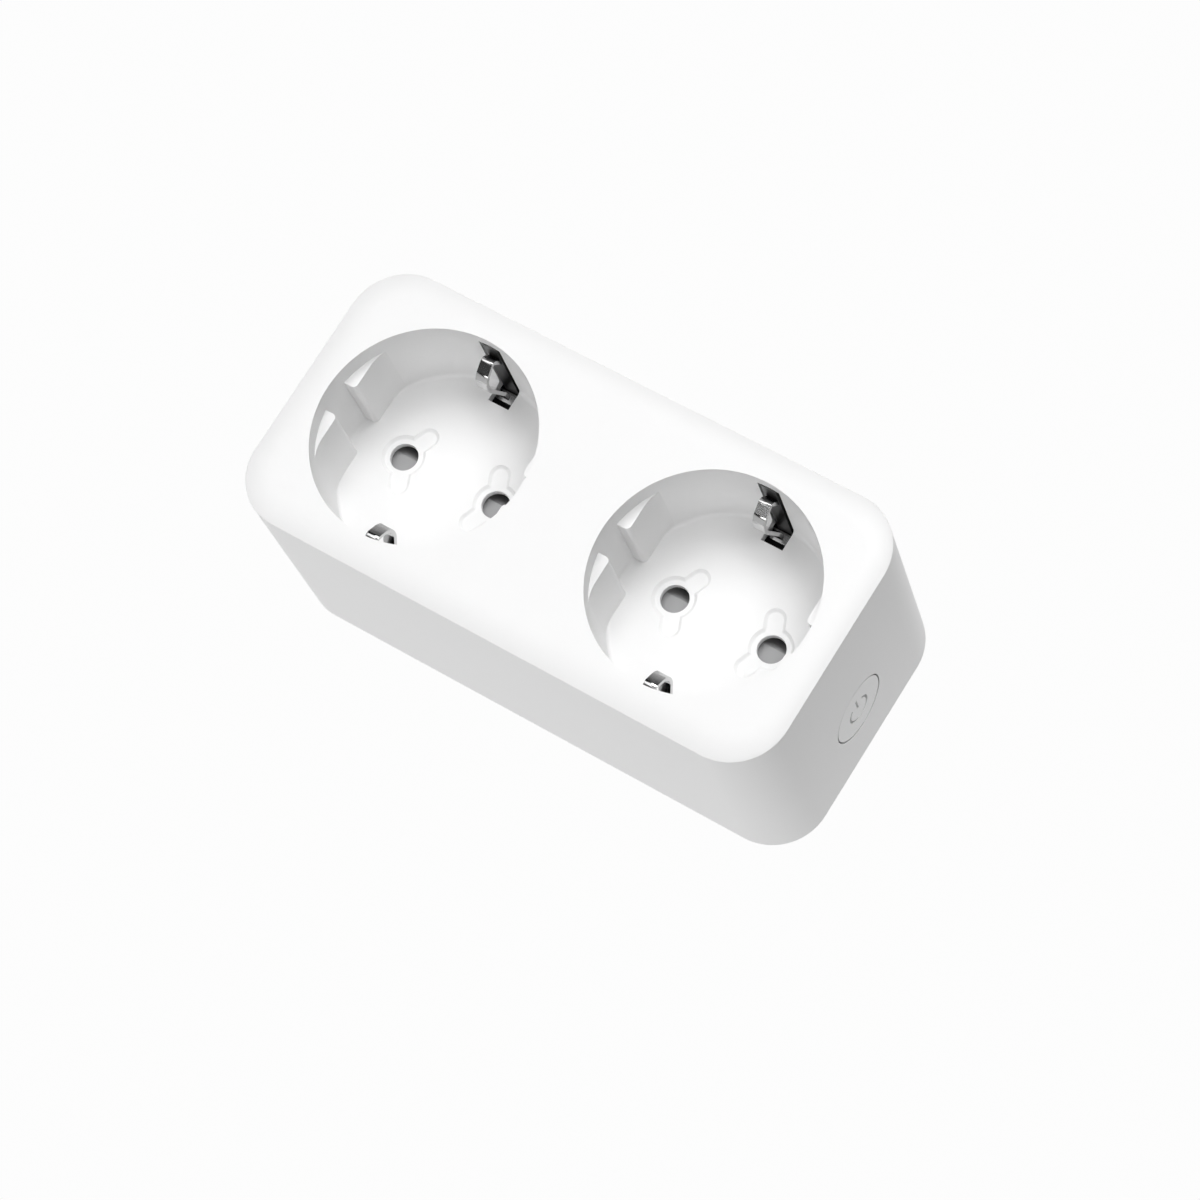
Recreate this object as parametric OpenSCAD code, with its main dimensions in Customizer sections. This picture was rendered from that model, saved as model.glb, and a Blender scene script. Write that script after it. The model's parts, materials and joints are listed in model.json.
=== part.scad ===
// Twin-outlet smart plug: two recessed sockets on the face, one plug on the back, one power button.
// Millimetres. X runs along the body, Z points out of the face, and z = 0 is the end of the rear plug.

/* [Body] */
// Length of the body along X
body_length = 105; // [103:0.5:110]
// Width of the body along Y
body_width = 50; // [49:0.5:52]
// Depth of the body from its back edge to its face
body_depth = 43; // [42.5:0.5:46]
// Radius of the four upright corners
corner_r = 10; // [8.5:0.5:11]
// Thickness of the outer walls
wall = 2; // [1.8:0.1:2.2]
// Width of the rounded band round the edge of the face
crown_width = 4.75; // [3:0.25:6]
// Drop of the face from its flat to its crisp edge
crown_drop = 1.1; // [0.8:0.1:1.6]

/* [Sockets] */
// Distance between the two socket centres
socket_pitch = 55.2; // [55:0.1:56]
// Radius of each recess
recess_r = 19.55; // [19.4:0.05:19.7]
// Depth of each recess below the face
recess_depth = 18.4; // [17.8:0.1:18.6]
// Thickness of the cup wall round each recess
cup_wall = 1.9; // [1.5:0.1:2]
// Thickness of the recess floor
floor_t = 1.7; // [1.6:0.1:2.2]
// Distance between the two pin holes of a socket
pin_pitch = 19; // [19:0.5:19]
// Radius of a pin hole
pin_hole_r = 2.5; // [2.45:0.05:2.6]
// Distance from the socket centre to the flat of a guide rib
rib_flat = 17; // [16.8:0.1:17.4]
// Width of the gap between the two ribs on one side
rib_gap = 5.6; // [5:0.1:6]
// Distance from the face down to the top of the ribs
rib_drop = 3.8; // [3:0.1:5]
// Width of an earth clip slot
slot_width = 4.2; // [4:0.1:4.6]
// Distance from the face down to the top of a slot
slot_drop = 2.3; // [2.3:0.1:2.8]
// Distance from the socket centre to the inner end of a slot in the floor
slot_reach = 15.6; // [15.4:0.1:16]

/* [Plug] */
// Height of the rear plug from its end to the back of the body
plug_height = 18; // [18:0.1:18.5]
// Radius of the rear plug
plug_r = 18.5; // [18.3:0.1:18.8]
// Radius of a plug pin
plug_pin_r = 2.4; // [2.4:0.01:2.42]
// Length of a plug pin outside the plug
plug_pin_length = 19; // [19:0.1:19.5]

/* [Power button] */
// Radius of the button face
button_r = 6.2; // [5.8:0.1:6.6]
// Distance from the face of the body down to the button centre
button_drop = 27.3; // [27:0.1:27.6]
// Gap round the button
button_gap = 0.25; // [0.2:0.05:0.4]

/* [Hidden] */
$fn = 64;

// A cut runs this far past the surface that it opens
cut = 1;

// Levels
back_z = plug_height;
face_z = back_z + body_depth;
recess_z = face_z - recess_depth;
floor_z = recess_z - floor_t;
ceiling_z = face_z - 2.2;
cover_z = back_z + 2;
board_z = cover_z + 1;
board_t = 1.6;
board_top = board_z + board_t;
bar_z = board_top + 0.8;
bar_t = 0.8;
block_z = 35.2;
block_top = 37.6;
shutter_z = block_top + 0.15;
shutter_t = 2.25;
rail_z = 39.2;
rail_t = 1;
button_z = face_z - button_drop;

// Plan
half_l = body_length / 2;
half_w = body_width / 2;
crown_r = (crown_width * crown_width + crown_drop * crown_drop) / (2 * crown_drop);
socket_x = socket_pitch / 2;
pin_x = pin_pitch / 2;
pocket_depth = 0.5;
post_x = half_l - 6.8;
post_y = half_w - 6.8;
post_r = 3.6;

// Earth parts
clip_y = recess_r + 0.1;
clip_t = 0.6;
clip_width = 3;
tongue_width = 2.3;
rail_y = 17.2;
rail_width = 3;
strip_y = 16.4;
strip_t = 0.8;
strip_width = 5;
groove_width = 9;

// Button and switch along X
button_back = half_l - wall - 0.1;
button_flange_t = 0.9;
button_flange_r = button_r + 0.9;
control_x = 43.2;
control_t = 1.2;
switch_depth = 3.5;
plunger_reach = 0.8;

// Shutter
shutter_length = 26;
shutter_low = -3.6;
shutter_high = 3.1;
shutter_wall_y = -14.4;

pcb_green = [0.12, 0.30, 0.20];
shell_white = [0.96, 0.96, 0.96];
brass = [0.80, 0.68, 0.40];
steel = [0.72, 0.72, 0.74];

// ---------- shared shapes ----------

// A block with round upright corners, centred on Z
module rounded_block(l, w, r, z0, z1) {
    translate([0, 0, z0]) linear_extrude(z1 - z0) {
        square([l - 2 * r, w], center = true);
        square([l, w - 2 * r], center = true);
        for (x = [-1, 1], y = [-1, 1]) translate([x * (l / 2 - r), y * (w / 2 - r)]) circle(r);
    }
}

// A box from its lowest corner to its highest
module box(lo, hi) translate(lo) cube(hi - lo);

// A cylinder along Z between two levels
module rod(r, z0, z1) translate([0, 0, z0]) cylinder(r = r, h = z1 - z0);

// A cylinder along X between two places
module rod_x(r, x0, x1) translate([x0, 0, 0]) rotate([0, 90, 0]) cylinder(r = r, h = x1 - x0);

// Half of the body's section: upright wall, crisp edge, rounded band, flat face
module edge_section(run, z0) {
    translate([0, z0]) square([run - crown_width, face_z - z0]);
    translate([0, z0]) square([run, face_z - crown_drop - z0]);
    intersection() {
        translate([run - crown_width, face_z - crown_r]) circle(crown_r, $fn = 180);
        translate([run - crown_width, face_z - crown_drop]) square([crown_width, crown_drop]);
    }
}

// Repeats its children on +Y and on -Y
module both_y() {
    children();
    mirror([0, 1, 0]) children();
}

// Repeats its children on +X and on -X
module both_x() {
    children();
    mirror([1, 0, 0]) children();
}

// A round wire swept along a list of points
function ring(p, d, r, n) =
    let (side = norm(cross(d, [0, 0, 1])) > 0.01 ? cross(d, [0, 0, 1]) : cross(d, [0, 1, 0]),
         u = side / norm(side), v = cross(d, u) / norm(d))
    [for (i = [0:n - 1]) p + r * (cos(360 * i / n) * u + sin(360 * i / n) * v)];

module wire(path, r, n = 8) {
    last = len(path) - 1;
    rings = [for (k = [0:last]) ring(path[k], path[min(k + 1, last)] - path[max(k - 1, 0)], r, n)];
    polyhedron(
        [for (one = rings) for (p = one) p],
        concat(
            [for (k = [0:last - 1]) for (i = [0:n - 1])
                [k * n + i, k * n + (i + 1) % n, (k + 1) * n + (i + 1) % n, (k + 1) * n + i]],
            [[for (i = [0:n - 1]) n - 1 - i]],
            [[for (i = [0:n - 1]) last * n + i]]));
}

// ---------- housing ----------

// The outside of the body: straight sides, four round corners, rounded band on the face
module body_solid() {
    run_x = half_l - corner_r;
    run_y = half_w - corner_r;
    // bar along X with the band on both long edges
    both_y() rotate([90, 0, 90]) translate([0, 0, -run_x]) linear_extrude(2 * run_x) {
        square([run_y, face_z]);
        translate([run_y, 0]) edge_section(corner_r, back_z);
    }
    // ends
    both_x() translate([run_x, run_y, 0]) rotate([90, 0, 0]) linear_extrude(2 * run_y)
        edge_section(corner_r, back_z);
    // corners
    both_x() both_y() translate([run_x, run_y, 0]) rotate_extrude(angle = 90)
        edge_section(corner_r, back_z);
}

module body_shell() {
    difference() {
        body_solid();
        translate([0, 0, -cut]) rounded_block(body_length + 2, body_width + 2, corner_r, 0, back_z + cut);
        rounded_block(body_length - 2 * wall, body_width - 2 * wall, corner_r - wall, 0, ceiling_z);
    }
}

// Guide ribs on the two sides of a recess
module guide_ribs() {
    both_x() intersection() {
        rod(recess_r + 0.5 * cup_wall, recess_z - 0.5 * floor_t, face_z - rib_drop);
        both_y() box([rib_flat, rib_gap / 2, recess_z - floor_t], [recess_r + cup_wall, recess_r, face_z]);
    }
}

// Shallow pocket round one pin hole, with two arms towards the socket centre
module pin_pocket() {
    arm_x = -2.1;
    arm_y = 4.8;
    arm_r = 1.5;
    arm_half = arm_r - 0.02;
    rod(3.5, recess_z - pocket_depth, recess_z + cut);
    both_y() {
        translate([arm_x, arm_y, 0]) rod(arm_r, recess_z - pocket_depth, recess_z + cut);
        rotate([0, 0, atan2(arm_y, arm_x)]) box([0, -arm_half, recess_z - pocket_depth],
            [norm([arm_x, arm_y]), arm_half, recess_z + cut]);
    }
}

module socket_cuts() {
    rod(recess_r, recess_z, face_z + cut);
    both_x() translate([pin_x, 0, 0]) rod(pin_hole_r, floor_z - cut, recess_z + cut);
    both_y() box([-slot_width / 2, slot_reach, floor_z - cut],
        [slot_width / 2, recess_r + cup_wall + 0.4, face_z - slot_drop]);
    both_x() translate([pin_x, 0, 0]) pin_pocket();
}

// Places of the screw bosses under one recess floor
boss_x = 13.3;
boss_y = 11.5;
module at_block_screws() {
    translate([boss_x, boss_y, 0]) children();
    translate([-boss_x, -boss_y, 0]) children();
}

module at_posts() both_x() both_y() translate([post_x, post_y, 0]) children();
module at_sockets() both_x() translate([socket_x, 0, 0]) children();

module housing() color(shell_white) difference() {
    union() {
        body_shell();
        at_sockets() rod(recess_r + cup_wall, floor_z, ceiling_z + 0.5);
        at_posts() rod(post_r, cover_z, ceiling_z + 0.5);
        for (x = [-1, 1]) translate([x * socket_x, 0, 0]) at_block_screws() rod(2, block_top, floor_z + 0.5);
    }
    at_sockets() difference() {
        socket_cuts();
        guide_ribs();
    }
    at_posts() rod(1.25, cover_z - cut, cover_z + 11);
    for (x = [-1, 1]) translate([x * socket_x, 0, 0]) at_block_screws() rod(0.95, block_top - cut, floor_z + 1);
    translate([0, 0, button_z]) rod_x(button_r + button_gap, half_l - 2 * wall, half_l + cut);
}

// ---------- back cover and rear plug ----------

// Places of the screws that hold the main board
board_screw_places = [[40, 10], [-40, 10], [-40, -10]];

// Cut that leaves flats and a key on one side of the plug, to suit guide ribs
module plug_side_flats() both_x() both_y()
    box([16.7, 2.4, -cut], [plug_r + cut, plug_r, back_z - 0.5]);

module back_cover() color(shell_white) difference() {
    union() {
        rounded_block(body_length - 2 * wall - 0.3, body_width - 2 * wall - 0.3, corner_r - wall - 0.15,
            back_z, cover_z);
        rod(plug_r, 0, back_z + 0.5);
        for (p = board_screw_places) translate([p[0], p[1], 0]) rod(2.4, cover_z - 0.5, board_z);
    }
    // hollow of the plug
    intersection() {
        rod(plug_r - 2, 2.5, cover_z + cut);
        box([-plug_r, -14.6, 0], [plug_r, 14.6, cover_z + cut]);
    }
    plug_side_flats();
    // pin holes in the end of the plug
    both_x() translate([pin_x, 0, 0]) rod(pin_hole_r, -cut, 3);
    // earth grooves, and slots where the strips enter the body
    both_y() box([-groove_width / 2, strip_y - 0.2, -cut], [groove_width / 2, plug_r + cut, back_z]);
    both_y() box([-strip_width / 2 - 0.2, strip_y - 0.2, -cut],
        [strip_width / 2 + 0.2, strip_y + strip_t + 0.2, cover_z + cut]);
    both_y() box([-strip_width / 2 - 0.2, 15, 0.9], [strip_width / 2 + 0.2, strip_y, 2.2]);
    // screws
    at_posts() rod(1.7, back_z - cut, cover_z + cut);
    at_posts() rod(2.95, back_z - cut, back_z + 1.2);
    for (p = board_screw_places) translate([p[0], p[1], 0]) rod(1, back_z + 0.8, board_z + cut);
}

module pan_screw(r, head_r, z_head, z_seat, z_tip) {
    rod(head_r, z_head, z_seat);
    rod(r, z_seat, z_tip);
}

module cover_screws() color(steel) at_posts() difference() {
    pan_screw(1.2, 2.7, back_z + 0.1, back_z + 1.2, cover_z + 9);
    rod(0.9, back_z - cut, back_z + 0.8, $fn = 6);
}

module pin_holder() color([0.15, 0.15, 0.16]) difference() {
    intersection() {
        rod(plug_r - 2.15, 6, 12);
        box([-plug_r, -14.45, 0], [plug_r, 14.45, 20]);
    }
    both_x() translate([pin_x, 0, 0]) rod(2.05, 0, 20);
}

// Round-ended plug pin; the shank above z = 0 is slimmer, and its collar is trapped inside the plug
module plug_pin(z_tail) {
    tip = 1;
    rod(plug_pin_r, -plug_pin_length + tip, 0);
    translate([0, 0, -plug_pin_length + tip]) rotate_extrude() {
        square([plug_pin_r - tip, 0.5]);
        intersection() {
            translate([plug_pin_r - tip, 0]) circle(tip, $fn = 48);
            translate([0, -tip]) square([plug_pin_r, tip]);
        }
        translate([0, -tip]) square([plug_pin_r - tip, tip]);
    }
    rod(2.1, 0, 2.6);
    rod(3.2, 2.6, 5.95);
    rod(2, 5.95, 19.5);
    rod(1.5, 19.5, z_tail);
}

module plug_pin_live() color(steel) translate([-pin_x, 0, 0]) plug_pin(board_top + 1);
module plug_pin_neutral() color(steel) translate([pin_x, 0, 0]) plug_pin(bar_z + bar_t + 0.6);

// Earth strip of the plug: hooked foot, bowed contact face, straight run into the body, flange under the rail
module plug_earth_strip() {
    translate([-strip_width / 2, 0, 0]) rotate([90, 0, 90]) linear_extrude(strip_width) polygon([
        [15.2, 1], [strip_y + 0.5, 1], [strip_y + 1, 4], [strip_y + 1.3, 9], [strip_y + 1, 14],
        [strip_y + strip_t, 17], [strip_y + strip_t, rail_z - strip_t], [rail_y + rail_width, rail_z - strip_t],
        [rail_y + rail_width, rail_z], [strip_y, rail_z], [strip_y, 17], [strip_y + 0.2, 14],
        [strip_y + 0.5, 9], [strip_y + 0.2, 4], [strip_y, 2], [15.2, 2]]);
}

module plug_earth_strip_a() color(brass) plug_earth_strip();
module plug_earth_strip_b() color(brass) mirror([0, 1, 0]) plug_earth_strip();

// ---------- earth rails and clips ----------

module earth_rail() difference() {
    union() {
        box([-socket_x - 3, rail_y, rail_z], [socket_x + 3, rail_y + rail_width, rail_z + rail_t]);
        // stiffening lip between the cups
        box([-4, rail_y, rail_z], [4, rail_y + rail_t, rail_z + 3]);
    }
    both_x() translate([8, rail_y + rail_width / 2, 0]) rod(0.8, rail_z - cut, rail_z + rail_t + cut);
}

module earth_rail_a() color(brass) earth_rail();
module earth_rail_b() color(brass) mirror([0, 1, 0]) earth_rail();

// Earth clip: a band behind the slot, and a tongue folded out of it that springs into the recess
module earth_clip() {
    foot_z = rail_z + rail_t + 0.15;
    translate([0, clip_y, foot_z + clip_t / 2]) rod_x(clip_t / 2, -clip_width / 2, clip_width / 2);
    box([-clip_width / 2, clip_y - clip_t / 2, foot_z + clip_t / 2],
        [clip_width / 2, clip_y + clip_t / 2, face_z - slot_drop - 0.1]);
    translate([-tongue_width / 2, 0, face_z]) rotate([90, 0, 90]) linear_extrude(tongue_width) polygon([
        [clip_y, -7.4], [18.6, -5.4], [18.2, -4.9], [17.75, -4.75],
        [15.6, -6.2], [15.05, -6.75], [14.6, -7.6], [14.45, -8.6], [14.5, -10.2], [16.9, -16.3], [17.1, -18.4],
        [17.8, -18.4], [17.65, -16.2], [15.25, -10], [15.15, -8.8], [15.25, -8], [15.6, -7.3], [16.1, -6.8],
        [17.75, -5.7], [18, -5.9], [clip_y, -8.4]]);
}

module earth_clip_left_a() color(brass) translate([-socket_x, 0, 0]) earth_clip();
module earth_clip_left_b() color(brass) translate([-socket_x, 0, 0]) mirror([0, 1, 0]) earth_clip();
module earth_clip_right_a() color(brass) translate([socket_x, 0, 0]) earth_clip();
module earth_clip_right_b() color(brass) translate([socket_x, 0, 0]) mirror([0, 1, 0]) earth_clip();

// ---------- contact blocks, shutters and contacts ----------

chimney_x = 4.2;
chimney_y = 5.4;

module contact_block() difference() {
    union() {
        // plate under the recess floor
        box([-15.4, -14.6, block_z], [15.4, 14.6, block_top]);
        both_y() box([-4, 14, block_z], [4, half_w - wall - 0.2, block_top]);
        // ears behind the clip slots
        both_y() box([-4, recess_r + cup_wall + 0.3, block_z], [4, half_w - wall - 0.2, ceiling_z - 0.1]);
        // chimneys round the contacts
        both_x() box([pin_x - chimney_x, -chimney_y, bar_z + bar_t + 0.3], [pin_x + chimney_x, chimney_y, block_z]);
        // guides, stop and spring wall of the shutter
        both_x() box([shutter_length / 2 + 0.15, -9.4, block_top], [shutter_length / 2 + 1.5, 5, shutter_z + shutter_t]);
        box([-3, shutter_high + 0.1, block_top], [3, shutter_high + 1.3, shutter_z + shutter_t]);
        box([-2.4, shutter_wall_y, block_top], [2.4, shutter_wall_y + 1.2, shutter_z + shutter_t]);
    }
    both_x() translate([pin_x, 0, 0]) rod(3, block_z - cut, block_top + cut);
    both_x() box([pin_x - chimney_x + 1, -chimney_y + 1, bar_z], [pin_x + chimney_x - 1, chimney_y - 1, block_z + 0.8]);
    at_block_screws() rod(1.3, block_z - cut, block_top + cut);
}

module contact_block_left() color([0.10, 0.10, 0.11]) translate([-socket_x, 0, 0]) contact_block();
module contact_block_right() color([0.10, 0.10, 0.11]) translate([socket_x, 0, 0]) contact_block();

module block_screws() color(steel) for (x = [-1, 1]) translate([x * socket_x, 0, 0]) at_block_screws()
    pan_screw(0.9, 2, block_z - 1.3, block_z, floor_z + 0.6);

// Sliding shutter: a bar across both pin holes, with a ramp under each hole
module shutter() {
    ramp_y = 0.9;
    translate([-shutter_length / 2, 0, 0]) rotate([90, 0, 90]) linear_extrude(shutter_length) polygon([
        [shutter_low, shutter_z], [shutter_high, shutter_z], [shutter_high, shutter_z + 0.3],
        [ramp_y, shutter_z + shutter_t], [shutter_low, shutter_z + shutter_t]]);
}

module shutter_left() color([0.45, 0.45, 0.46]) translate([-socket_x, 0, 0]) shutter();
module shutter_right() color([0.45, 0.45, 0.46]) translate([socket_x, 0, 0]) shutter();

// Compression spring that pushes the shutter shut
spring_turns = 6;
spring_r = 0.75;
spring_wire_r = 0.16;
module shutter_spring() {
    start = shutter_wall_y + 1.2 + spring_wire_r;
    run = shutter_low - start - spring_wire_r;
    steps = 12 * spring_turns;
    wire([for (i = [0:steps]) [spring_r * cos(30 * i), start + run * i / steps,
        shutter_z + shutter_t / 2 + spring_r * sin(30 * i)]], spring_wire_r, 6);
}

module shutter_spring_left() color(steel) translate([-socket_x, 0, 0]) shutter_spring();
module shutter_spring_right() color(steel) translate([socket_x, 0, 0]) shutter_spring();

// Twin-leaf clamp that grips an inserted pin
module contact_clamp() {
    top = block_z - 0.6;
    box([-2.2, -4.2, bar_z], [2.2, 4.2, bar_z + bar_t]);
    both_y() translate([-2.2, 0, 0]) rotate([90, 0, 90]) linear_extrude(4.4) polygon([
        [3.5, bar_z], [4.2, bar_z], [2.8, 31], [2.8, 32], [3.9, top], [3.2, top], [2.1, 32], [2.1, 31]]);
}

// Leg of a contact that passes through the board
module contact_leg() box([-1, -0.4, board_z - 0.4], [1, 0.4, bar_z + 0.1]);

module neutral_bar() color(brass) difference() {
    union() {
        for (x = [-1, 1]) translate([x * (socket_x - pin_x), 0, 0]) {
            contact_clamp();
            box([-2.2, 0, bar_z], [2.2, 8.5, bar_z + bar_t]);
        }
        box([-socket_x + pin_x - 2.2, 5, bar_z], [socket_x - pin_x + 2.2, 8.5, bar_z + bar_t]);
        box([pin_x - 2.6, -2.6, bar_z], [pin_x + 2.6, 6, bar_z + bar_t]);
    }
    translate([pin_x, 0, 0]) rod(1.52, bar_z - cut, bar_z + bar_t + cut);
}

module live_contact() {
    contact_clamp();
    contact_leg();
}

module live_contact_left() color(brass) translate([-socket_x - pin_x, 0, 0]) live_contact();
module live_contact_right() color(brass) translate([socket_x + pin_x, 0, 0]) live_contact();

// ---------- button, switch and control board ----------

// Engraved power sign: a ring with a gap at the top, and a bar in the gap
module power_sign() {
    sign_r = 2.7;
    stroke = 0.48;
    depth = 0.35;
    translate([half_l - depth, 0, 0]) rotate([90, 0, 90]) {
        rotate([0, 0, 125]) rotate_extrude(angle = 290) translate([sign_r - stroke, 0]) square([stroke, depth + cut]);
        box([-stroke / 2, 0.4, 0], [stroke / 2, 3.6, depth + cut]);
    }
}

module power_button() color(shell_white) translate([0, 0, button_z]) difference() {
    union() {
        rod_x(button_r, button_back - 0.2, half_l);
        rod_x(button_flange_r, button_back - button_flange_t, button_back);
        rod_x(2, control_x + control_t + switch_depth + plunger_reach + 0.3, button_back);
    }
    power_sign();
}

module switch_body() color([0.12, 0.12, 0.13]) difference() {
    box([control_x + control_t, -3, button_z - 3], [control_x + control_t + switch_depth, 3, button_z + 3]);
    translate([0, 0, button_z]) rod_x(1.85, control_x + control_t + 1.5, 60);
}

module switch_plunger() color([0.80, 0.55, 0.20]) translate([0, 0, button_z])
    rod_x(1.75, control_x + control_t + 1.9, control_x + control_t + switch_depth + plunger_reach);

module control_board() color(pcb_green) {
    box([control_x, -12, board_top], [control_x + control_t, 12, floor_z - 1]);
    both_y() box([control_x, 5, board_z], [control_x + control_t, 8, board_top]);
}

module status_led() color([0.95, 0.93, 0.80]) {
    box([control_x + control_t, 4, button_z - 1.4], [control_x + control_t + 1, 7.5, button_z + 1.4]);
    translate([0, 5.75, button_z]) rod_x(1.1, control_x + control_t + 1, control_x + control_t + 1.3);
}

// ---------- main board and what it carries ----------

module main_board() color(pcb_green) difference() {
    box([-46, -21.5, board_z], [46, 21.5, board_top]);
    both_x() both_y() box([41.7, 14.2, board_z - cut], [47, 22, board_top + cut]);
    both_y() box([-3, 15.6, board_z - cut], [3, 22, board_top + cut]);
    both_x() translate([pin_x, 0, 0]) rod(1.7, board_z - cut, board_top + cut);
    both_x() translate([socket_x + pin_x, 0, 0]) box([-1.1, -0.5, board_z - cut], [1.1, 0.5, board_top + cut]);
    both_y() box([control_x - 0.05, 4.9, board_z - cut], [control_x + control_t + 0.05, 8.1, board_top + cut]);
    for (p = board_screw_places) translate([p[0], p[1], 0]) rod(1.2, board_z - cut, board_top + cut);
    at_sockets() for (x = relay_pin_x) translate([x, relay_y, 0]) rod(0.65, board_z - cut, board_top + cut);
}

module board_screws() color(steel) for (p = board_screw_places) translate([p[0], p[1], 0]) {
    rod(2, board_top, board_top + 1.3);
    rod(0.95, back_z + 1, board_top);
}

relay_y = 14.6;
relay_pin_x = [-8.5, -3.5, 3.5, 8.5];

module relay() {
    box([-10, -5.5, board_top + 0.3], [10, 5.5, board_top + 11.5]);
    for (x = relay_pin_x) translate([x, 0, 0])
        box([-0.5, -0.25, board_z - 0.6], [0.5, 0.25, board_top + 0.3]);
}

module relay_left() color([0.10, 0.16, 0.30]) translate([-socket_x, relay_y, 0]) relay();
module relay_right() color([0.10, 0.16, 0.30]) translate([socket_x, relay_y, 0]) relay();

module transformer() color([0.75, 0.62, 0.20]) translate([-socket_x - 1.5, -13.4, board_top]) {
    box([-6.5, -5, 0], [6.5, 5, 2]);
    box([-5.2, -4.2, 2], [5.2, 4.2, 9]);
    box([-6.5, -2.6, 9], [6.5, 2.6, 11]);
    both_x() box([5.2, -2.6, 2], [6.5, 2.6, 9]);
}

module standing_can(r, h) {
    rod(r, 0.3, h);
    rod(r - 0.4, 0, 0.3);
}

module bulk_capacitor() color([0.12, 0.12, 0.30]) translate([-6.5, -10, board_top]) standing_can(4.8, 13);
module output_capacitor() color([0.12, 0.12, 0.30]) translate([26, -14, board_top]) standing_can(3.15, 9);

module suppression_capacitor() color([0.85, 0.75, 0.25]) translate([7, -10.5, board_top])
    box([-6.5, -3, 0], [6.5, 3, 11]);

module varistor() color([0.15, 0.30, 0.55]) translate([-6.5, 13.2, board_top + 6]) rotate([90, 0, 0])
    cylinder(r = 5, h = 4, center = true);

module fuse_resistor() color([0.35, 0.55, 0.40]) translate([6.5, 13, board_top + 2]) rod_x(1.9, -4.5, 4.5);

module bridge_rectifier() color([0.10, 0.10, 0.10]) translate([18, -14, board_top]) box([-2.4, -3.2, 0], [2.4, 3.2, 2.5]);

module wifi_module() translate([36.5, -13.6, board_top]) {
    color(pcb_green) box([-5.5, -7.2, 0], [5.5, 7.2, 0.9]);
    color(steel) box([-4.6, -6.4, 0.9], [4.6, 3.2, 3.1]);
}

housing();
back_cover();
cover_screws();
pin_holder();
plug_pin_live();
plug_pin_neutral();
plug_earth_strip_a();
plug_earth_strip_b();
earth_rail_a();
earth_rail_b();
earth_clip_left_a();
earth_clip_left_b();
earth_clip_right_a();
earth_clip_right_b();
contact_block_left();
contact_block_right();
block_screws();
shutter_left();
shutter_right();
shutter_spring_left();
shutter_spring_right();
neutral_bar();
live_contact_left();
live_contact_right();
power_button();
switch_body();
switch_plunger();
control_board();
status_led();
main_board();
board_screws();
relay_left();
relay_right();
transformer();
bulk_capacitor();
output_capacitor();
suppression_capacitor();
varistor();
fuse_resistor();
bridge_rectifier();
wifi_module();
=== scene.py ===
# %% [markdown]
# # A twin-socket smart plug
# This notebook builds the looks of a mains smart plug round its engineering model. The engineering model
# is loaded as a fixed frame: it says where every piece is, so each new piece is sized from it. All lengths
# are in metres, X runs along the body, Y across it, and Z points out of the face with the sockets.

# %% The frame and the modules
import json
import math
from contextlib import contextmanager

import bmesh
import bpy
from mathutils import Matrix, Vector

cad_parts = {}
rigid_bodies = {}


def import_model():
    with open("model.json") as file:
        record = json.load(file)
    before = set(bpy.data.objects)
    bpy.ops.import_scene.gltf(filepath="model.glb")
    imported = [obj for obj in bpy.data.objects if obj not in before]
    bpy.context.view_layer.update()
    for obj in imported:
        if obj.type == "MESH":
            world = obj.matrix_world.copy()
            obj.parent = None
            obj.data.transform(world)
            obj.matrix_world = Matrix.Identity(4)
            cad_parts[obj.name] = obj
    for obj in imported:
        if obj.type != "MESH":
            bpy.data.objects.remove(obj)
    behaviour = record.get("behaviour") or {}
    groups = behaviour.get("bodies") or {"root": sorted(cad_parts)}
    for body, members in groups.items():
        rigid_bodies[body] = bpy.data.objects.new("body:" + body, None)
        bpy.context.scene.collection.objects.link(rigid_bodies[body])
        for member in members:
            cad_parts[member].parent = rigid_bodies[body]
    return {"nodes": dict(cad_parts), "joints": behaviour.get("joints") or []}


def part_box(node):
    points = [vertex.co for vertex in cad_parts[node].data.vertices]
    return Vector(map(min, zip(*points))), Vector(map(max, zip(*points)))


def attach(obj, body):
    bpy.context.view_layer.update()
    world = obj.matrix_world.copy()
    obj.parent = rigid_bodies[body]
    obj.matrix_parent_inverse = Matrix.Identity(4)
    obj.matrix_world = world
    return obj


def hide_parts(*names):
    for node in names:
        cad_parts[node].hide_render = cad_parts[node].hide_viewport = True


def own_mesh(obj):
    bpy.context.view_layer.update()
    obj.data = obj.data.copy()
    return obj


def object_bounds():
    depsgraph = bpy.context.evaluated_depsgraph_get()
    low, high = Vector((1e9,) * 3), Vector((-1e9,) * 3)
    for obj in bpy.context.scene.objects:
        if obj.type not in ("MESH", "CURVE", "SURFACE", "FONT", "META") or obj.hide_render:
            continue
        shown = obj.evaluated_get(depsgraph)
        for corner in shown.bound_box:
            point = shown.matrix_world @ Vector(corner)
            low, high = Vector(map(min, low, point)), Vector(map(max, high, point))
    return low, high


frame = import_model()
bpy.ops.object.select_all(action="DESELECT")
cad_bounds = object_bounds()
MM = 0.001
print("frame, mm:", [[round(c / MM, 2) for c in corner] for corner in cad_bounds])

# %% [markdown]
# ## The camera, the floor and the light
# A long lens from well above keeps the box shape nearly free of perspective, as in a studio picture of a
# small product. Three directions say how the camera is turned: its right side, its top and its back.
# The floor is plain and pale and gives off its own light, so it stays white and takes no hard shadow. It
# ends a quarter of a metre to the right of the middle, so less light comes up to the end with the button.

# %% Camera
camera_place = Vector((0.243083, -0.150225, 0.648019))
camera_right = Vector((0.82689, 0.52680, -0.19682))
camera_up = Vector((-0.43666, 0.82199, 0.36560))
camera_back = Vector((0.35438, -0.21637, 0.90973))

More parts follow.
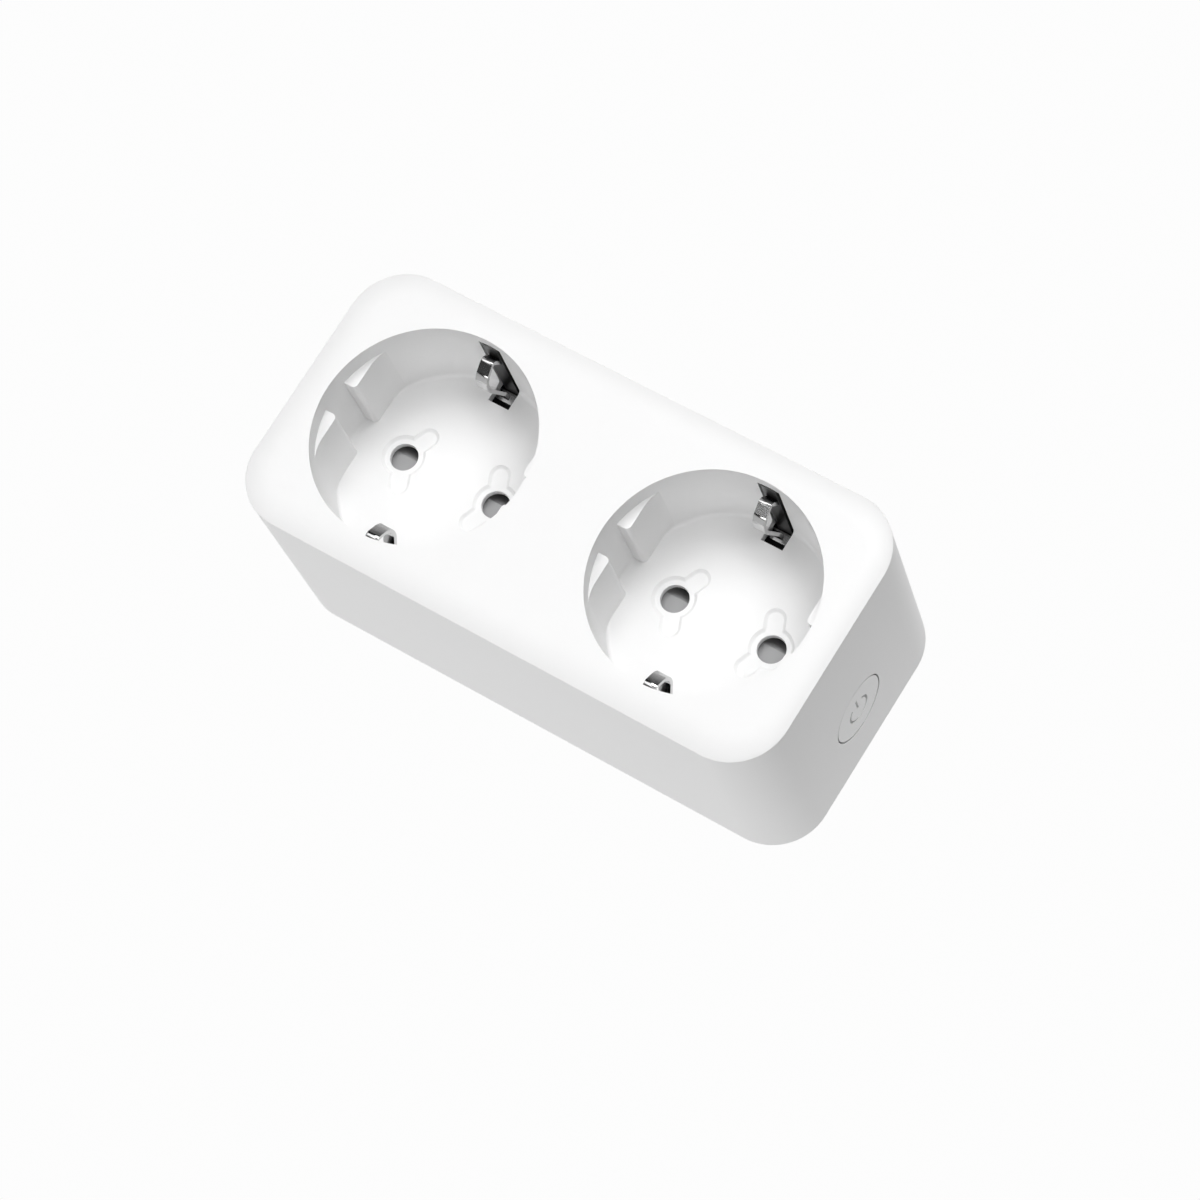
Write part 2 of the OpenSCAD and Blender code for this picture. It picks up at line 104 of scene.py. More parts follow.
bpy.ops.object.camera_add()
camera = bpy.context.active_object
turn = Matrix((camera_right, camera_up, camera_back)).transposed()
camera.matrix_world = Matrix.Translation(camera_place) @ turn.to_4x4()
camera.data.sensor_width = 36
camera.data.lens = 120.47
camera.data.clip_start = 0.01
bpy.context.scene.camera = camera
print("camera distance, m:", round(camera_place.length, 3))

# %% Floor and surroundings
FLOOR_LEFT, FLOOR_RIGHT = -15, 0.25
FLOOR_DEPTH = 30
FLOOR_GAP = 0.1 * MM
bpy.ops.mesh.primitive_plane_add(
    size=1, location=((FLOOR_LEFT + FLOOR_RIGHT) / 2, 0, cad_bounds[0].z - FLOOR_GAP))
floor = bpy.context.active_object
floor.scale = (FLOOR_RIGHT - FLOOR_LEFT, FLOOR_DEPTH, 1)
floor.name = "floor"
floor_paint = bpy.data.materials.new("floor_paint")
floor_paint.use_nodes = True
floor_shader = floor_paint.node_tree.nodes["Principled BSDF"]
floor_shader.inputs["Base Color"].default_value = (0, 0, 0, 1)
floor_shader.inputs["Roughness"].default_value = 1
floor_shader.inputs["Specular IOR Level"].default_value = 0
floor_shader.inputs["Emission Color"].default_value = (1, 1, 1, 1)
floor_shader.inputs["Emission Strength"].default_value = 0.98
floor.data.materials.append(floor_paint)

world = bpy.data.worlds.new("studio")
bpy.context.scene.world = world
world.use_nodes = True
backdrop = world.node_tree.nodes["Background"]
backdrop.inputs["Color"].default_value = (0.98, 0.98, 0.98, 1)
seen = world.node_tree.nodes.new("ShaderNodeLightPath").outputs["Is Camera Ray"]
faint = world.node_tree.nodes.new("ShaderNodeMath")
faint.operation = "MAXIMUM"
faint.inputs[1].default_value = 0.02
world.node_tree.links.new(seen, faint.inputs[0])
world.node_tree.links.new(faint.outputs[0], backdrop.inputs["Strength"])

# %% Soft boxes
def soft_box(name, azimuth, elevation, power, size=1.0, distance=1.8):
    """A square light that faces the object, from an angle round it and an angle above the floor."""
    around, above = math.radians(azimuth), math.radians(elevation)
    way = Vector((math.sin(around) * math.cos(above), -math.cos(around) * math.cos(above), math.sin(above)))
    bpy.ops.object.light_add(type="AREA", location=way * distance)
    light = bpy.context.active_object
    light.name = name
    light.data.size = size
    light.data.energy = power
    light.rotation_euler = way.to_track_quat("Z", "Y").to_euler()


soft_box("key_behind", 180, 62, 20.0)
soft_box("left", 270, 62, 5.0)
soft_box("right", 90, 62, 7.0)
soft_box("front", 0, 35, 9.9)
soft_box("overhead", 0, 90, 4.0, size=2.0)
bpy.context.scene.view_settings.view_transform = "Standard"

# %% [markdown]
# ## Modelling helpers
# A modelled piece starts as a primitive at its own place, is shaped with operators in edit mode and is
# finished with modifiers. Parts of a mesh are picked by a rule on their place or normal, never by number,
# so the same steps still work when a size changes.

# %% Picking, editing and modifiers
def alone(piece):
    """Selects one object and makes it active."""
    bpy.ops.object.select_all(action="DESELECT")
    piece.select_set(True)
    bpy.context.view_layer.objects.active = piece


@contextmanager
def editing(piece):
    """Edit mode on one piece, and object mode again afterwards."""
    alone(piece)
    bpy.ops.object.mode_set(mode="EDIT")
    yield
    bpy.ops.object.mode_set(mode="OBJECT")


def pick(faces=None, edges=None):
    """Selects, in edit mode, just the faces or edges that a rule holds for, and returns how many."""
    bpy.context.tool_settings.mesh_select_mode = (False, faces is None, edges is None)
    bpy.ops.mesh.select_all(action="DESELECT")
    mesh = bmesh.from_edit_mesh(bpy.context.edit_object.data)
    chosen = [f for f in mesh.faces if faces(f)] if edges is None else [e for e in mesh.edges if edges(e)]
    for part in chosen:
        part.select_set(True)
    bmesh.update_edit_mesh(bpy.context.edit_object.data)
    return len(chosen)


def modify(piece, kind, **settings):
    """Adds a modifier with these settings and applies it."""
    alone(piece)
    modifier = piece.modifiers.new(kind.lower(), kind)
    for name, value in settings.items():
        setattr(modifier, name, value)
    bpy.ops.object.modifier_apply(modifier=modifier.name)


def combine(piece, operation, *tools):
    """Cuts tools out of a piece, joins them to it or keeps what they share with it, and clears them away."""
    for tool in tools:
        modify(piece, "BOOLEAN", operation=operation, object=tool, solver="EXACT")
        bpy.data.objects.remove(tool)
    return piece


def settle(name):
    """Names the active object and moves its place, turn and size into its mesh."""
    piece = bpy.context.active_object
    piece.name = piece.data.name = name
    bpy.ops.object.transform_apply(location=True, rotation=True, scale=True)
    return piece


# %% Starting shapes
def block(name, low, high):
    """A box between two corners."""
    low, high = Vector(low), Vector(high)
    bpy.ops.mesh.primitive_cube_add(size=1, location=(low + high) / 2, scale=high - low)
    return settle(name)


def rod(name, radius, start, end, sides=64):
    """A round bar from one point to another."""
    start, end = Vector(start), Vector(end)
    bpy.ops.mesh.primitive_cylinder_add(
        vertices=sides, radius=radius, depth=(end - start).length, location=(start + end) / 2,
        rotation=(end - start).to_track_quat("Z", "Y").to_euler())
    return settle(name)


def outline(name, points, closed):
    """A row of points joined by edges, all selected, to be extruded, filled or spun."""
    bpy.ops.mesh.primitive_plane_add(size=1, location=(0, 0, 0))
    piece = settle(name)
    alone(piece)
    bpy.ops.object.mode_set(mode="EDIT")
    bpy.ops.mesh.select_all(action="SELECT")
    bpy.ops.mesh.delete(type="VERT")
    mesh = bmesh.from_edit_mesh(piece.data)
    row = [mesh.verts.new(point) for point in points]
    ends = row[1:] + row[:1] if closed else row[1:]
    for here, there in zip(row, ends):
        mesh.edges.new((here, there))
    for part in (*mesh.verts, *mesh.edges):
        part.select_set(True)
    bmesh.update_edit_mesh(piece.data)
    bpy.context.tool_settings.mesh_select_mode = (False, True, False)
    return piece


def close_up():
    """Merges doubled points, turns all faces outwards and leaves edit mode."""
    bpy.ops.mesh.select_all(action="SELECT")
    bpy.ops.mesh.remove_doubles(threshold=0.0005 * MM)
    bpy.ops.mesh.normals_make_consistent(inside=False)
    bpy.ops.object.mode_set(mode="OBJECT")


def prism(name, points, run):
    """A flat outline, filled and extruded along a direction."""
    piece = outline(name, points, closed=True)
    bpy.ops.mesh.edge_face_add()
    bpy.ops.mesh.extrude_region_move(TRANSFORM_OT_translate={"value": run})
    close_up()
    return piece


def bent_strip(name, path, low_x, high_x, thickness, bend=0.0):
    """Sheet metal: a (y, z) path is extruded along X, rounded at its bends and thickened."""
    strip = outline(name, [(low_x, y, z) for y, z in path], closed=False)
    bpy.ops.mesh.extrude_region_move(TRANSFORM_OT_translate={"value": (high_x - low_x, 0, 0)})
    close_up()
    if bend:
        modify(strip, "BEVEL", width=bend, segments=4, limit_method="ANGLE", angle_limit=math.radians(8))
    modify(strip, "SOLIDIFY", thickness=thickness, offset=0, use_even_offset=True)
    return strip


def turned(name, profile, centre, axis="Z", steps=64):
    """A lathe part: (radius, height) points spun once round an axis through a centre."""
    centre = Vector(centre)
    if axis == "Z":
        points = [centre + Vector((radius, 0, height)) for radius, height in profile]
        around = (0, 0, 1)
    else:
        points = [centre + Vector((height, 0, radius)) for radius, height in profile]
        around = (1, 0, 0)
    piece = outline(name, points, closed=False)
    bpy.ops.mesh.spin(steps=steps, angle=2 * math.pi, center=centre, axis=around)
    close_up()
    return piece


def quarter_round(radius, low, high, steps=6):
    """Lathe points of a quarter circle that ends a bar: from a smaller radius at low to this one at high."""
    size = high - low
    return [(radius - size * (1 - math.sin(turn)), high - size * math.cos(turn))
            for turn in (math.pi / 2 * step / steps for step in range(steps + 1))]


def twin(piece, name, move=(0, 0, 0), flip=(1, 1, 1)):
    """A copy with its own mesh, turned over where flip is -1 and then moved."""
    alone(piece)
    bpy.ops.object.duplicate(linked=False)
    copy = bpy.context.active_object
    copy.location = move
    copy.scale = flip
    settle(name)
    with editing(copy):
        bpy.ops.mesh.select_all(action="SELECT")
        bpy.ops.mesh.normals_make_consistent(inside=False)
    return copy


# %% Finishing
def soften(piece, width, segments=2, angle=35):
    """Rounds every edge that is sharper than an angle, as a mould or a press leaves it."""
    modify(piece, "BEVEL", width=width, segments=segments, limit_method="ANGLE",
           angle_limit=math.radians(angle), use_clamp_overlap=True)
    return piece


def hand_over(piece, body, slot, finish, *nodes, angle=45):
    """Smooths a finished piece, gives it its material and its body, and hides the nodes it stands for; the
    slot is not used.
    """
    alone(piece)
    bpy.ops.object.shade_smooth_by_angle(angle=math.radians(angle))
    modify(piece, "WEIGHTED_NORMAL", keep_sharp=True)
    piece.data.materials.clear()
    piece.data.materials.append(finish)
    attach(piece, body)
    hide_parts(*nodes)
    bpy.ops.object.select_all(action="DESELECT")
    return piece


# %% [markdown]
# ## Shader maths
# A material is a small network of nodes. One class wraps a socket, so that sums on it can be written as
# ordinary Python, and its methods add the other nodes.

# %% A socket that can be used in sums
class Socket:
    """An output in a material's node tree."""

    def __init__(self, tree, output=None):
        self.tree = tree
        self.output = output

    def node(self, kind, settings=None, sockets=None, output=0):
        """Adds a node: its settings first, then the values or links of its sockets."""
        made = self.tree.nodes.new(kind)
        for name, value in (settings or {}).items():
            if name == "stops":
                ramp = made.color_ramp.elements
                while len(ramp) < len(value):
                    ramp.new(0.5)
                for stop, (place, colour) in zip(ramp, value):
                    stop.position = place
                    stop.color = (*colour, 1)
            else:
                setattr(made, name, value)
        for name, value in (sockets or {}).items():
            if isinstance(value, Socket):
                self.tree.links.new(value.output, made.inputs[name])
            else:
                made.inputs[name].default_value = value
        return Socket(self.tree, made.outputs[output])

    def maths(self, operation, first, second):
        return self.node("ShaderNodeMath", {"operation": operation}, {0: first, 1: second})

    def __add__(self, other):
        return self.maths("ADD", self, other)

    def __mul__(self, other):
        return self.maths("MULTIPLY", self, other)

    def __rsub__(self, other):
        return self.maths("SUBTRACT", other, self)

    __radd__ = __add__
    __rmul__ = __mul__

    def ramp(self, low, high):
        """Rises from 0 to 1 as this value goes from low to high."""
        return self.node("ShaderNodeMapRange", None, {"Value": self, "From Min": low, "From Max": high})

    def part(self, axis):
        """One coordinate of a vector: 0, 1 or 2 for X, Y or Z."""
        return self.node("ShaderNodeSeparateXYZ", None, {"Vector": self}, axis)

    def mix(self, low, high):
        """A colour between two others, by this value."""
        return self.node("ShaderNodeMix", {"data_type": "RGBA"}, {"Factor": self, "A": low, "B": high}, 2)


def new_finish(name, **fixed):
    """A material, its main shader with these fixed values, and its Object coordinates."""
    finish = bpy.data.materials.new(name)
    finish.use_nodes = True
    shader = finish.node_tree.nodes["Principled BSDF"]
    for socket, value in fixed.items():
        shader.inputs[socket.replace("_", " ")].default_value = value
    place = Socket(finish.node_tree).node("ShaderNodeTexCoord", output=3)
    return finish, shader, place


def drive(shader, **links):
    """Links sockets of the main shader."""
    for name, value in links.items():
        value.tree.links.new(value.output, shader.inputs[name.replace("_", " ")])


def noise(place, size, detail=2.0):
    """Soft noise with features of about this size."""
    return place.node("ShaderNodeTexNoise", None, {"Vector": place, "Scale": 1 / size, "Detail": detail}, 0)


def bump(height, depth, strength=1.0):
    return height.node("ShaderNodeBump", None, {"Height": height, "Distance": depth, "Strength": strength})


# %% [markdown]
# ## Finishes
# Moulded plastic takes the surface of its mould: here a fine spark-eroded grain, a tenth of a millimetre
# across, under a satin gloss that varies slightly where the plastic flowed. The sign cut into the button
# is painted with shade: its colour turns grey with the depth below the button's face.

# %% Moulded plastic
def moulded(name, colour, roughness, grain=0.12 * MM, depth=0.004 * MM):
    """Plastic with a fine mould grain and a slightly uneven gloss."""
    finish, shader, place = new_finish(name)
    grain_height = noise(place, grain, 3)
    flow = noise(place, 14 * MM)
    darker = tuple(0.975 * c for c in colour)
    drive(shader, Base_Color=flow.mix((*darker, 1), (*colour, 1)),
          Roughness=roughness + 0.06 * flow + 0.04 * grain_height,
          Normal=bump(grain_height, depth))
    return finish


WHITE = (0.86, 0.86, 0.86)
white_plastic = moulded("white_plastic", WHITE, 0.42)


def button_with_shaded_sign():
    """White cap plastic; inside the engraving below its face the colour is painted shade, a mid grey."""
    finish, shader, place = new_finish("button_plastic")
    face_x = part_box("power_button")[1].x
    # Painted shade: the colour turns grey below the face, inside the engraved sign.
    level = place.part(0).ramp(face_x - 0.24 * MM, face_x - 0.14 * MM)
    grain_height = noise(place, 0.12 * MM, 3)
    drive(shader, Base_Color=level.mix((0.50, 0.50, 0.50, 1), (*WHITE, 1)),
          Roughness=0.40 + 0.05 * grain_height, Normal=bump(grain_height, 0.004 * MM))
    return finish


button_plastic = button_with_shaded_sign()
black_plastic = moulded("black_plastic", (0.012, 0.012, 0.013), 0.5)
grey_plastic = moulded("grey_plastic", (0.37, 0.37, 0.375), 0.45)
amber_plastic = moulded("amber_plastic", (0.55, 0.26, 0.04), 0.35)
relay_blue = moulded("relay_blue", (0.015, 0.055, 0.20), 0.28)
film_yellow = moulded("film_yellow", (0.62, 0.44, 0.05), 0.25)
varistor_blue = moulded("varistor_blue", (0.02, 0.10, 0.32), 0.2, grain=0.6 * MM, depth=0.03 * MM)
cement_green = moulded("cement_green", (0.10, 0.24, 0.13), 0.6, grain=0.3 * MM, depth=0.02 * MM)
lens_white = moulded("lens_white", (0.80, 0.78, 0.62), 0.15)
ferrite = moulded("ferrite", (0.035, 0.033, 0.035), 0.65, grain=0.25 * MM, depth=0.02 * MM)

# %% [markdown]
# Rolled strip and drawn wire carry fine lines along their length. The noise is squeezed across the strip,
# so it streaks along it, and the streaks change both the height and the gloss. The earth clips have a
# finish of their own: bright on the tongue, and painted shade on the band in the slot, darker towards the
# bottom.

# %% Metal
def metal(name, colour, roughness, stretch=(0.1, 1.0, 1.0), line=0.08 * MM, depth=0.002 * MM):
    """Plated or bare metal with fine rolling lines."""
    finish, shader, place = new_finish(name, Metallic=1.0)
    squeezed = place.node("ShaderNodeMapping", None, {"Vector": place, "Scale": stretch})
    lines = noise(squeezed, line)
    tarnish = noise(place, 3 * MM, 4)
    dull = tuple(0.86 * c for c in colour)
    drive(shader, Base_Color=tarnish.mix((*dull, 1), (*colour, 1)),
          Roughness=roughness + 0.10 * lines + 0.06 * tarnish,
          Normal=bump(lines, depth))
    return finish


nickel = metal("nickel", (0.72, 0.71, 0.69), 0.16, stretch=(1.0, 1.0, 0.1))


def clip_strip():
    """Bright nickel on the tongue; the band that stands in the slot is painted with shade, nearly black low
    in the slot.
    """
    finish, shader, place = new_finish("clip_metal", Metallic=1.0)
    across = place.part(1)
    band = across.maths("ABSOLUTE", across, 0.0).ramp(18.7 * MM, 19.3 * MM)
    # Painted shade and painted dark reflection: the band's colour goes from dark grey near the face to nearly
    # black deep in the slot.
    slot_shade = place.part(2).ramp(48 * MM, 57 * MM).mix((0.006, 0.006, 0.006, 1), (0.15, 0.15, 0.15, 1))
    cloud = noise(place, 3 * MM, 3)
    bright = cloud.mix((0.58, 0.58, 0.58, 1), (0.64, 0.64, 0.64, 1))
    drive(shader, Base_Color=band.mix(bright, slot_shade), Roughness=0.13 + 0.04 * cloud + 0.25 * band)
    return finish


clip_metal = clip_strip()
brass = metal("brass", (0.78, 0.56, 0.22), 0.22)
steel = metal("steel", (0.60, 0.60, 0.61), 0.28)
spring_steel = metal("spring_steel", (0.52, 0.52, 0.54), 0.2)
tinned = metal("tinned", (0.66, 0.66, 0.67), 0.35, stretch=(1, 1, 1), line=0.7 * MM)

# %% [markdown]
# A circuit board is glass cloth under a green lacquer. Copper runs under the lacquer show as slightly
# raised, lighter lines: a brick pattern's joints serve, since they run straight and branch at right angles.

# %% Circuit board, winding tape and shrunk sleeve
def circuit_board():
    """Green solder mask over copper tracks."""
    finish, shader, place = new_finish("circuit_board", Coat_Weight=0.4)
    track = place.node("ShaderNodeTexBrick", {"offset": 0.35}, {
        "Vector": place, "Scale": 1.0, "Mortar Size": 0.16 * MM, "Brick Width": 7 * MM,
        "Row Height": 1.3 * MM}, 1)
    weave = noise(place, 0.4 * MM, 3)
    drive(shader, Base_Color=track.mix((0.010, 0.085, 0.035, 1), (0.035, 0.20, 0.085, 1)),
          Roughness=0.32 + 0.12 * weave, Normal=bump(track + 0.2 * weave, 0.02 * MM))
    return finish


def layered_tape():
    """Yellow tape wound in overlapping turns: a faint step shows at every layer."""
    finish, shader, place = new_finish("layered_tape", Coat_Weight=0.3)
    bands = place.node("ShaderNodeTexWave", {"bands_direction": "Z", "wave_profile": "SAW"},
                       {"Vector": place, "Scale": 1 / (9 * MM), "Distortion": 0.4})
    drive(shader, Base_Color=bands.mix((0.58, 0.36, 0.03, 1), (0.72, 0.50, 0.07, 1)),
          Roughness=0.28 + 0.1 * bands, Normal=bump(bands, 0.03 * MM))
    return finish


def shrunk_sleeve():
    """Dark film shrunk on a can: glossy, with the slight ripple that heat leaves."""
    finish, shader, place = new_finish("shrunk_sleeve", Coat_Weight=0.5)
    ripple = noise(place, 2.5 * MM)
    drive(shader, Base_Color=ripple.mix((0.012, 0.014, 0.05, 1), (0.02, 0.024, 0.08, 1)),
          Roughness=0.22 + 0.1 * ripple, Normal=bump(ripple, 0.04 * MM))
    return finish


board_green = circuit_board()
tape_yellow = layered_tape()
sleeve_blue = shrunk_sleeve()

# %% [markdown]
# ## Housing
# The face, the sides and both recesses are one moulding. The outside is a box with four upright corners
# rounded, and its face is ringed by a low band that rises in an arc from a crisp edge to the flat. Insets
# that climb a little less each time make that arc, and the recesses are then cut like a lathe would cut.
# Every pin hole has a shallow dish round it, with the outline of a ring and two arms. Pieces that are
# joined reach into each other by a small lap.

# %% Sizes of the housing
housing_low, housing_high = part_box("housing")
face_z = housing_high.z
back_z = housing_low.z
half_length = housing_high.x
half_width = housing_high.y
wall = 2 * MM
corner_radius = 10 * MM
lap = 0.5 * MM
crown_width = 4.75 * MM
crown_drop = 1.1 * MM
ceiling_z = face_z - 2.2 * MM
socket_x = 27.6 * MM
post_x = half_length - 6.8 * MM
post_y = half_width - 6.8 * MM
cover_z = back_z + wall
recess_radius = 19.55 * MM
recess_z = face_z - 18.4 * MM
floor_z = recess_z - 1.7 * MM
cup_radius = recess_radius + 1.9 * MM
pin_x = 9.5 * MM
pin_hole = 2.5 * MM
slot_half = 2.1 * MM
slot_inner = 15.6 * MM
slot_outer = cup_radius + 0.4 * MM
slot_top = face_z - 2.3 * MM
block_screw_places = ((13.3 * MM, 11.5 * MM), (-13.3 * MM, -11.5 * MM))
block_top = 37.6 * MM
boss_radius, boss_bore = 2 * MM, 0.95 * MM
post_radius, post_bore, post_bore_depth = 3.6 * MM, 1.25 * MM, 11 * MM
CLEAR = 2 * MM
print("face at, mm:", round(face_z / MM, 2))


# %% Outside
def rounded_block(name, half_x, half_y, radius, low, high, steps=20):
    """A box whose four upright edges are rounded."""
    piece = block(name, (-half_x, -half_y, low), (half_x, half_y, high))
    with editing(piece):
        pick(edges=lambda e: abs(e.verts[0].co.z - e.verts[1].co.z) > 0.5 * (high - low))
        bpy.ops.mesh.bevel(offset=radius, segments=steps, affect="EDGES")
    return piece


body_shell = rounded_block("body_shell", half_length, half_width, corner_radius, back_z, face_z - crown_drop)
crown_radius = (crown_width**2 + crown_drop**2) / (2 * crown_drop)
CROWN_STEPS = 10
with editing(body_shell):
    pick(faces=lambda f: f.normal.z > 0.9)
    height = 0
    for step in range(1, CROWN_STEPS + 1):
        run = crown_width * step / CROWN_STEPS
        climb = math.sqrt(crown_radius**2 - (crown_width - run)**2) - (crown_radius - crown_drop)
        bpy.ops.mesh.inset(thickness=crown_width / CROWN_STEPS, depth=climb - height, use_even_offset=True)
        height = climb
print("crown climbs to, mm:", round((face_z - crown_drop + height) / MM, 2))

# %% Hollow inside, cups, screw posts and bosses
cavity = rounded_block("cavity", half_length - wall, half_width - wall, corner_radius - wall,
                       back_z - CLEAR, ceiling_z)
combine(body_shell, "DIFFERENCE", cavity)
for side in (-1, 1):
    centre = side * socket_x
    combine(body_shell, "UNION",
            rod("cup", cup_radius, (centre, 0, floor_z), (centre, 0, ceiling_z + lap), 128))
    for x, y in block_screw_places:
        combine(body_shell, "UNION",
                rod("boss", boss_radius, (centre + x, y, block_top), (centre + x, y, floor_z + lap), 32))
        combine(body_shell, "DIFFERENCE",
                rod("hole", boss_bore, (centre + x, y, block_top - CLEAR),
                    (centre + x, y, floor_z + MM), 24))
    for across in (-1, 1):
        x, y = side * post_x, across * post_y
        combine(body_shell, "UNION",
                rod("post", post_radius, (x, y, cover_z), (x, y, ceiling_z + lap), 40))
        combine(body_shell, "DIFFERENCE",
                rod("hole", post_bore, (x, y, cover_z - CLEAR), (x, y, cover_z + post_bore_depth), 24))


# %% Recess with its pockets, slots and guide ribs
def arc(u, v, radius, first, last, steps):
    """Points of an arc round a centre, both ends included."""
    turns = (first + (last - first) * step / steps for step in range(steps + 1))
    return [(u + radius * math.cos(turn), v + radius * math.sin(turn)) for turn in turns]


RING_RADIUS, ARM_RADIUS = 3.5, 1.5
ARM_TIP = (-2.1, 4.8)
POCKET_LEVELS = ((-0.50, -0.30), (-0.47, -0.16), (-0.36, 0.0), (-0.12, 0.22), (-0.03, 0.36), (2, 0.40))


def keyhole_plan(grow):
    """The outline of a ring with an arm to each side, in millimetres, grown outwards by this much."""
    ring, arm = RING_RADIUS + grow, ARM_RADIUS + grow
    tip_u, tip_v = ARM_TIP
    aim = math.atan2(tip_v, tip_u)
    half = math.asin(arm / ring)
    quarter = math.pi / 2
    return [*arc(0, 0, ring, half - aim, aim - half, 40),
            *arc(tip_u, tip_v, arm, aim - quarter, aim + quarter, 16),
            *arc(0, 0, ring, aim + half, 2 * math.pi - aim - half, 18),
            *arc(tip_u, -tip_v, arm, -aim - quarter, -aim + quarter, 16)]


def keyhole_pocket(x, side):
    """A shallow dish round one pin hole: its outline at each (level, growth) pair, bridged into one body."""
    for number, (level, grow) in enumerate(POCKET_LEVELS):
        outline(f"loop_{number}", [(x + side * u * MM, v * MM, recess_z + level * MM)
                                   for u, v in keyhole_plan(grow)], closed=True)
        bpy.ops.object.mode_set(mode="OBJECT")
    bpy.ops.object.select_pattern(pattern="loop_*", extend=False)
    bpy.ops.object.join()
    pocket = settle("pocket")
    with editing(pocket):
        bpy.context.tool_settings.mesh_select_mode = (False, True, False)
        bpy.ops.mesh.select_all(action="SELECT")
        bpy.ops.mesh.bridge_edge_loops()
        for end in (POCKET_LEVELS[0][0] * MM, POCKET_LEVELS[-1][0] * MM):
            pick(edges=lambda e: all(abs(v.co.z - recess_z - end) < 0.01 * MM for v in e.verts))
            bpy.ops.mesh.edge_face_add()
        bpy.ops.mesh.select_all(action="SELECT")
        bpy.ops.mesh.normals_make_consistent(inside=False)
    return pocket


RIB_FLAT = 17 * MM
RIB_EDGE = 2.8 * MM
RIB_BLEND = 8 * MM
RIB_ROOT = recess_radius + 0.9 * MM
RIB_STEPS = 12
RIB_TOP = face_z - 3.8 * MM
RIB_FOOT = recess_z - 0.8 * MM


def guide_rib(centre, side, across):
    """A rib on the recess wall: flat towards the plug, and blended into the round wall by a hollow arc."""
    blend_x = RIB_FLAT - RIB_BLEND
    blend_y = math.sqrt((recess_radius + 0.12 * MM - RIB_BLEND)**2 - blend_x**2)
    last = math.atan2(blend_y, blend_x)
    first = math.asin(RIB_EDGE / RIB_ROOT)
    plan = [(RIB_FLAT, RIB_EDGE), *arc(blend_x, blend_y, RIB_BLEND, 0, last, RIB_STEPS),
            *arc(0, 0, RIB_ROOT, last, first, RIB_STEPS)]
    rib = prism("rib", [(centre + side * x, across * y, RIB_FOOT) for x, y in plan],
                (0, 0, RIB_TOP - RIB_FOOT))

    def out_of_wall(end):
        return math.hypot(end.co.x - centre, end.co.y) < recess_radius - 0.05 * MM

    with editing(rib):
        pick(edges=lambda e: all(out_of_wall(v) and abs(v.co.y) < RIB_EDGE + 0.1 * MM for v in e.verts))
        bpy.ops.mesh.bevel(offset=0.9 * MM, segments=5, affect="EDGES", clamp_overlap=True)
        pick(edges=lambda e: all(v.co.z > RIB_TOP - 0.01 * MM for v in e.verts)
             and any(map(out_of_wall, e.verts)))
        bpy.ops.mesh.bevel(offset=0.3 * MM, segments=3, affect="EDGES", clamp_overlap=True)
    return rib


for side in (-1, 1):
    centre = side * socket_x
    recess = rod("recess", recess_radius, (centre, 0, recess_z), (centre, 0, face_z + CLEAR), 160)
    with editing(recess):
        pick(edges=lambda e: all(v.co.z < recess_z + MM for v in e.verts))
        bpy.ops.mesh.bevel(offset=0.8 * MM, segments=4, affect="EDGES", clamp_overlap=True)
    combine(body_shell, "DIFFERENCE", recess)
    for hand in (-1, 1):
        hole_x = centre + hand * pin_x
        combine(body_shell, "DIFFERENCE", keyhole_pocket(hole_x, hand),
                rod("hole", pin_hole, (hole_x, 0, floor_z - CLEAR), (hole_x, 0, recess_z + CLEAR), 58))
        inner, outer = sorted((hand * slot_inner, hand * slot_outer))
        combine(body_shell, "DIFFERENCE",
                block("slot", (centre - slot_half, inner, floor_z - CLEAR),
                      (centre + slot_half, outer, slot_top)))
        for across in (-1, 1):
            combine(body_shell, "UNION", guide_rib(centre, hand, across))
print("housing faces:", len(body_shell.data.polygons))

# %% Button hole, edges and finish
button_low, button_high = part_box("power_button")
button_z = (button_low.z + button_high.z) / 2
button_radius = 6.2 * MM
button_gap = 0.25 * MM
combine(body_shell, "DIFFERENCE",
        rod("hole", button_radius + button_gap, (half_length - 2 * wall, 0, button_z),
            (half_length + CLEAR, 0, button_z), 96))
with editing(body_shell):
    bpy.ops.mesh.select_all(action="SELECT")
    bpy.ops.mesh.remove_doubles(threshold=0.01 * MM)
    bpy.ops.mesh.dissolve_limited(angle_limit=math.radians(0.5))
    bpy.context.tool_settings.mesh_select_mode = (False, True, False)
    bpy.ops.mesh.select_all(action="DESELECT")
    bpy.ops.mesh.select_non_manifold()
    open_edges = sum(e.select for e in bmesh.from_edit_mesh(body_shell.data).edges)
print("housing open edges:", open_edges)
soften(body_shell, 0.15 * MM)
hand_over(body_shell, "root", "shell", white_plastic, "housing")

# %% [markdown]
# ## Power button
# The button is a turned cap with a flange behind the wall that keeps it in. Its sign is engraved: a small
# square, spun most of the way round, gives the broken ring, and a bar stands in the gap.

# %% Button cap and its sign
button_back = half_length - wall - 0.1 * MM
flange_radius = 7.1 * MM
flange_back = button_back - 0.9 * MM
button_centre = (0, 0, button_z)
button_cap = turned("button_cap", [
    (0, button_low.x), (2 * MM, button_low.x), (2 * MM, flange_back),
    (flange_radius, flange_back), (flange_radius, button_back), (button_radius, button_back),
    (button_radius, half_length - 0.2 * MM), (button_radius - 0.06 * MM, half_length - 0.06 * MM),
    (button_radius - 0.2 * MM, half_length), (0, half_length)], button_centre, axis="X", steps=96)

